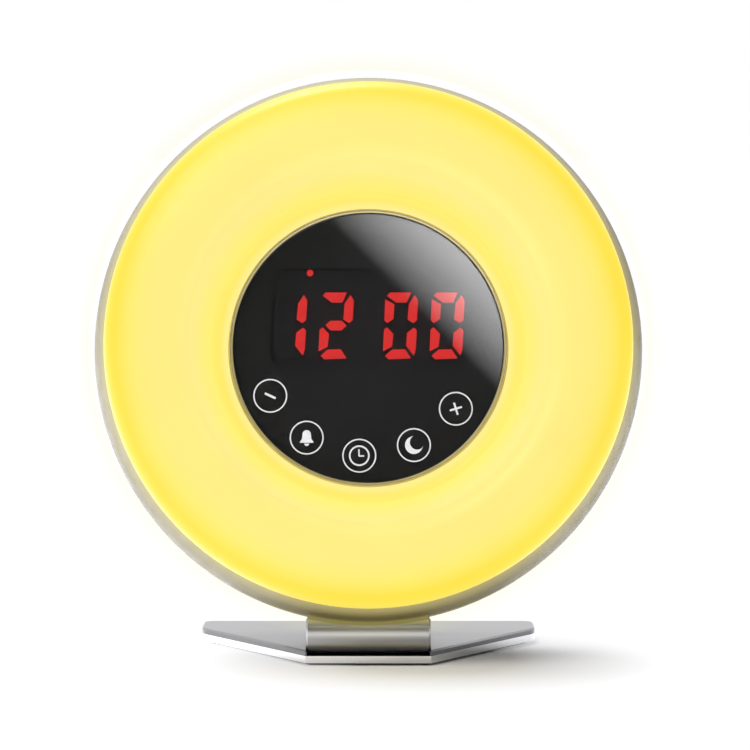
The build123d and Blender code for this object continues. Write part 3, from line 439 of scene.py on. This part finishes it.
# -------------------------------------------------------------- lens disc
def lens_disc():
    """The lens again with an air gap before the film, so that the two faces never coincide."""
    front = -lens_recess
    section = [
        (lens_radius, front - lens_thickness + film_gap),
        (lens_radius, front - lens_edge),
        (lens_radius - lens_edge, front),
    ]
    builder = bmesh.new()
    rows = []
    for radius, depth in section:
        rows.append([builder.verts.new((x, y, depth)) for x, y in circle(radius, count=192)])
    builder.faces.new(rows[0])
    builder.faces.new(rows[-1])
    for low, high in zip(rows, rows[1:]):
        for number in range(len(low)):
            after = (number + 1) % len(low)
            builder.faces.new((low[number], low[after], high[after], high[number]))
    disc = new_piece("lens_disc", builder, "clock")
    disc.data.materials.append(finish["smoked_acrylic"])
    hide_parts("display_lens")


lens_disc()


# ------------------------------------------------------------ touch icons
def minus_icon(builder, place):
    bar(builder, 3.7 * mm, 0.68 * mm, place, -25)


def plus_icon(builder, place):
    arm = 3.9 * mm
    width = 0.6 * mm
    bar(builder, arm, width, place, 17)
    side = (arm - width) / 2
    for sign in (-1, 1):
        shift = (sign * (width / 2 + side / 2), 0)
        bar(builder, side, width, place, 107, shift)


def bell_icon(builder, place):
    """Dome, waist and flared mouth, with the clapper as a half disc below."""
    dome = circle(1.3 * mm, (0, 1.0 * mm), 17, 0, 180)
    left = [(-1.45 * mm, -0.4 * mm), (-2.1 * mm, -1.35 * mm), (-2.1 * mm, -1.6 * mm)]
    right = [(-x, y) for x, y in reversed(left)]
    plate(builder, dome + left + right, place)
    plate(builder, circle(0.75 * mm, (0, -1.85 * mm), 13, 180, 180), place)


def clock_icon(builder, place):
    """Small dial with two hands."""
    plate(builder, circle(3.2 * mm), place, hole=circle(2.7 * mm))
    bar(builder, 2.1 * mm, 0.45 * mm, place, 90, (0.95 * mm, 0.1 * mm))
    bar(builder, 1.6 * mm, 0.45 * mm, place, 0, (0.7 * mm, -0.1 * mm))


def moon_icon(builder, place):
    """Crescent that opens to the upper right."""
    outer = circle(2.75 * mm, (0, 0), 41, 95, 260)
    first, last = Vector(outer[0]), Vector(outer[-1])
    inner_middle = Vector((1.0 * mm, 0.85 * mm))
    radius = (first - inner_middle).length
    begin = math.degrees(math.atan2(last.y - inner_middle.y, last.x - inner_middle.x))
    end = math.degrees(math.atan2(first.y - inner_middle.y, first.x - inner_middle.x))
    inner = circle(radius, inner_middle, 41, begin, -((begin - end) % 360))
    plate(builder, outer + inner[1:-1], place)


icon_makers = {
    "dim": minus_icon,
    "alarm": bell_icon,
    "time": clock_icon,
    "night": moon_icon,
    "bright": plus_icon,
}


def touch_icons():
    """Five printed icons, each in a thin ring, their white print made to glow as painted light."""
    # painted light: the white print glows, to show bright through the smoked lens
    print_painted_glow = lamp_material("icon_print_painted_glow", (0.80, 0.80, 0.80), 1.9)
    for name, angle in icon_angles.items():
        turn = math.radians(angle)
        x = icon_ring_middle[0] + icon_ring_radius * math.cos(turn)
        y = icon_ring_middle[1] + icon_ring_radius * math.sin(turn)
        place = (x, y)
        builder = bmesh.new()
        plate(builder, circle(icon_radius), place, hole=circle(icon_radius - icon_line))
        icon_makers[name](builder, place)
        piece = new_piece("icon_" + name, builder, "clock")
        piece.data.materials.append(print_painted_glow)


touch_icons()


# ------------------------------------------------------------------ stage
floor_half = 6.0
floor_colour = (0.78, 0.78, 0.82)    # in the clock's shadow
shadow_middle = (0.02, -0.02)
shadow_near = 0.025           # from here outwards the floor's shadow fades
shadow_reach = 0.07           # and from here on the floor is plain white

# How bright mirrors see the floor, and the places between which that fades.
left_light = 1.6
left_fade = (-0.042, -0.018)      # along X
front_light = 1.5
front_fade = (-0.064, -0.050)     # along Y
distant_light = 0.25
distant_fade = (-0.17, -0.10)     # along Y

halo_start = 85.1 * mm
halo_reach = 91.5 * mm
halo_alpha = 0.15             # next to the rim
halo_points = 192
fill_from_left = 0.68
fill_from_right = 0.30

camera_place = Vector((0, -1.232, 0.185))
camera_pitch = 4.5            # degrees downwards
photo_size = 750
focal_pixels = 3969
sensor_width = 36.0
optical_axis_pixel = (368.4, 370.0)

card_distance = 1.0
card_strength = 13.0
highlight_start = (13.5 * mm, 13.5 * mm)    # on the lens, from its middle
highlight_end = (38 * mm, 38 * mm)
card_half_width = 30 * mm

lamp_target = (0, 0, 0.08)
lamps = {
    # name: place, size, power in watts
    "key": ((-0.9, -0.9, 1.3), (1.0, 1.0), 14.0),
    "top": ((-0.3, 0.5, 1.4), (0.7, 0.5), 16.0),
}


def stage_mesh(name, corners, faces, material):
    mesh = bpy.data.meshes.new(name)
    mesh.from_pydata(corners, [], faces)
    mesh.materials.append(material)
    made = bpy.data.objects.new(name, mesh)
    bpy.context.scene.collection.objects.link(made)
    return made


def stage_plane(name, corners, material):
    return stage_mesh(name, corners, [(0, 1, 2, 3)], material)


def pale_floor():
    """Floor that the camera sees as plain white, but for the clock's shadow close to its foot.

    Mirrors see it lit on the left, in front and behind, dark close to the foot and dim far
    in front.
    """
    paint = Paint("pale_floor").set(Roughness=0.9, Specular_IOR_Level=0.1)
    paint.set(Emission_Color=(1, 1, 1, 1))
    away = paint.node("ShaderNodeVectorMath", operation="DISTANCE")
    away.inputs[1].default_value = (*shadow_middle, 0)
    paint.link(paint.position(), away.inputs[0])
    far = paint.spread(away.outputs["Value"], 0.0, 1.0, shadow_near, shadow_reach)
    place = paint.split(paint.position())
    left = paint.spread(place["X"], left_light, 0.0, *left_fade)
    front = paint.spread(place["Y"], front_light, 0.0, *front_fade)
    dimmed = paint.spread(place["Y"], distant_light, 1.0, *distant_fade)
    ahead = paint.math("MULTIPLY", paint.math("MAXIMUM", far, front), dimmed)
    lit = paint.math("MAXIMUM", ahead, left)
    path = paint.node("ShaderNodeLightPath")
    mirrored = paint.math("MULTIPLY", lit, path.outputs["Is Glossy Ray"])
    direct = paint.math("MULTIPLY", far, path.outputs["Is Camera Ray"])
    paint.link(paint.math("MAXIMUM", mirrored, direct), paint.shader.inputs["Emission Strength"])
    shade = paint.math("ADD", direct, paint.spread(paint.noise(3.0), -0.005, 0.005))
    stops = [(0.0, floor_colour), (1.0, (0, 0, 0))]
    paint.link(paint.ramp(shade, stops), paint.shader.inputs["Base Color"])
    signs = [(-1, -1), (1, -1), (1, 1), (-1, 1)]
    corners = [(x * floor_half, y * floor_half, 0) for x, y in signs]
    stage_plane("floor", corners, paint.material)


def white_world():
    """White to the camera, in mirrors and through glass; elsewhere soft, most from the left."""
    world = bpy.data.worlds.new("studio")
    bpy.context.scene.world = world
    world.use_nodes = True
    tree = world.node_tree
    background = tree.nodes["Background"]
    background.inputs["Color"].default_value = (1, 1, 1, 1)
    path = tree.nodes.new("ShaderNodeLightPath")
    seen = path.outputs["Is Camera Ray"]
    for name in ("Is Transmission Ray", "Is Glossy Ray"):
        either = tree.nodes.new("ShaderNodeMath")
        either.operation = "MAXIMUM"
        tree.links.new(seen, either.inputs[0])
        tree.links.new(path.outputs[name], either.inputs[1])
        seen = either.outputs[0]
    direction = tree.nodes.new("ShaderNodeTexCoord")
    split = tree.nodes.new("ShaderNodeSeparateXYZ")
    tree.links.new(direction.outputs["Generated"], split.inputs["Vector"])
    side = tree.nodes.new("ShaderNodeMapRange")
    side.inputs["From Min"].default_value = -1.0
    side.inputs["To Min"].default_value = fill_from_left
    side.inputs["To Max"].default_value = fill_from_right
    tree.links.new(split.outputs["X"], side.inputs["Value"])
    level = tree.nodes.new("ShaderNodeMapRange")
    level.inputs["To Max"].default_value = 1.0
    tree.links.new(side.outputs["Result"], level.inputs["To Min"])
    tree.links.new(seen, level.inputs["Value"])
    tree.links.new(level.outputs["Result"], background.inputs["Strength"])


def area_lamp(name, place, size, power):
    lamp = bpy.data.lights.new(name, "AREA")
    lamp.shape = "RECTANGLE"
    lamp.size, lamp.size_y = size
    lamp.energy = power
    made = bpy.data.objects.new(name, lamp)
    made.location = place
    sight = Vector(lamp_target) - Vector(place)
    made.rotation_euler = sight.to_track_quat("-Z", "Y").to_euler()
    bpy.context.scene.collection.objects.link(made)


def reflected(point, distance):
    """Where the line of sight to a point of the lens, mirrored by it, gets to after a distance."""
    on_lens = head_matrix @ Vector((*point, lens_middle_depth))
    sight = (on_lens - camera_place).normalized()
    mirrored = sight - 2 * sight.dot(forward) * forward
    return on_lens + mirrored * distance


def reflection_card():
    """Soft white card whose mirror image fades in across the upper right of the lens."""
    paint = Paint("soft_card").set(Base_Color=(0, 0, 0, 1), Roughness=1.0)
    paint.set(Emission_Color=(1, 1, 1, 1))
    start, end = [reflected(point, card_distance) for point in (highlight_start, highlight_end)]
    across = (end - start).normalized()
    along = paint.node("ShaderNodeVectorMath", operation="DOT_PRODUCT")
    along.inputs[1].default_value = across
    paint.link(paint.position(), along.inputs[0])
    places = start.dot(across), end.dot(across)
    strength = paint.spread(along.outputs["Value"], 0.0, card_strength, *places)
    paint.link(strength, paint.shader.inputs["Emission Strength"])
    corners = []
    for x, y in (highlight_start, highlight_end):
        for side in (-1, 1):
            shift = side * card_half_width
            corners.append(reflected((x - shift, y + shift), card_distance))
    low_left, low_right, high_left, high_right = corners
    card = stage_plane("soft_card", [low_left, low_right, high_right, high_left], paint.material)
    card.visible_camera = False
    card.visible_diffuse = False
    card.visible_shadow = False


def mirrored_flag(name, corners, shade):
    """Black card that only mirrors see."""
    paint = Paint(name).set(Base_Color=(shade, shade, shade, 1), Roughness=1.0)
    flag = stage_plane(name, corners, paint.material)
    flag.visible_camera = False
    flag.visible_diffuse = False
    flag.visible_shadow = False


def dark_flag():
    """A card behind the camera keeps the lens and the column's front dark."""
    y, half = -1.7, 1.3
    low, high = 0.01, 1.6
    corners = [(-half, y, low), (half, y, low), (half, y, high), (-half, y, high)]
    mirrored_flag("dark_flag", corners, 0.01)


def side_flag():
    """A card on the right darkens the right edges of the foot."""
    x, near, far, high = 0.9, 0.0, 1.2, 0.5
    corners = [(x, near, 0.0), (x, far, 0.0), (x, far, high), (x, near, high)]
    mirrored_flag("side_flag", corners, 0.02)


def halo():
    """Painted light: a faint yellow glow in the air round the rim, drawn on a sheet in the plane of the seam."""
    loops = [circle(radius, count=halo_points) for radius in (halo_start, halo_reach)]
    corners = [head_matrix @ Vector((x, y, 0)) for loop in loops for x, y in loop]
    faces = []
    for number in range(halo_points):
        after = (number + 1) % halo_points
        faces.append((number, after, halo_points + after, halo_points + number))
    paint = Paint("halo").set(Base_Color=(0, 0, 0, 1), Roughness=1.0, Specular_IOR_Level=0.0)
    # painted glow: the sheet's yellow emission stands in for the lamp's light round the rim
    paint.set(Emission_Color=(1.0, 0.9, 0.2, 1), Emission_Strength=1.0)
    places = halo_start / outer_radius, halo_reach / outer_radius
    fade = paint.spread(head_radius(paint), halo_alpha, 0.0, *places)
    paint.link(fade, paint.shader.inputs["Alpha"])
    sheet = stage_mesh("halo", corners, faces, paint.material)
    sheet.visible_diffuse = False
    sheet.visible_glossy = False
    sheet.visible_transmission = False
    sheet.visible_shadow = False


def photo_camera():
    data = bpy.data.cameras.new("camera")
    data.sensor_width = sensor_width
    data.lens = focal_pixels * sensor_width / photo_size
    data.shift_x = (photo_size / 2 - optical_axis_pixel[0]) / photo_size
    data.shift_y = (optical_axis_pixel[1] - photo_size / 2) / photo_size
    camera = bpy.data.objects.new("camera", data)
    camera.location = camera_place
    camera.rotation_euler = (math.radians(90 - camera_pitch), 0, 0)
    bpy.context.scene.collection.objects.link(camera)
    bpy.context.scene.camera = camera


photo_camera()
pale_floor()
white_world()
reflection_card()
dark_flag()
side_flag()
halo()
for lamp_name, (lamp_place, lamp_size, lamp_power) in lamps.items():
    area_lamp(lamp_name, lamp_place, lamp_size, lamp_power)
bpy.context.scene.view_settings.view_transform = "Standard"
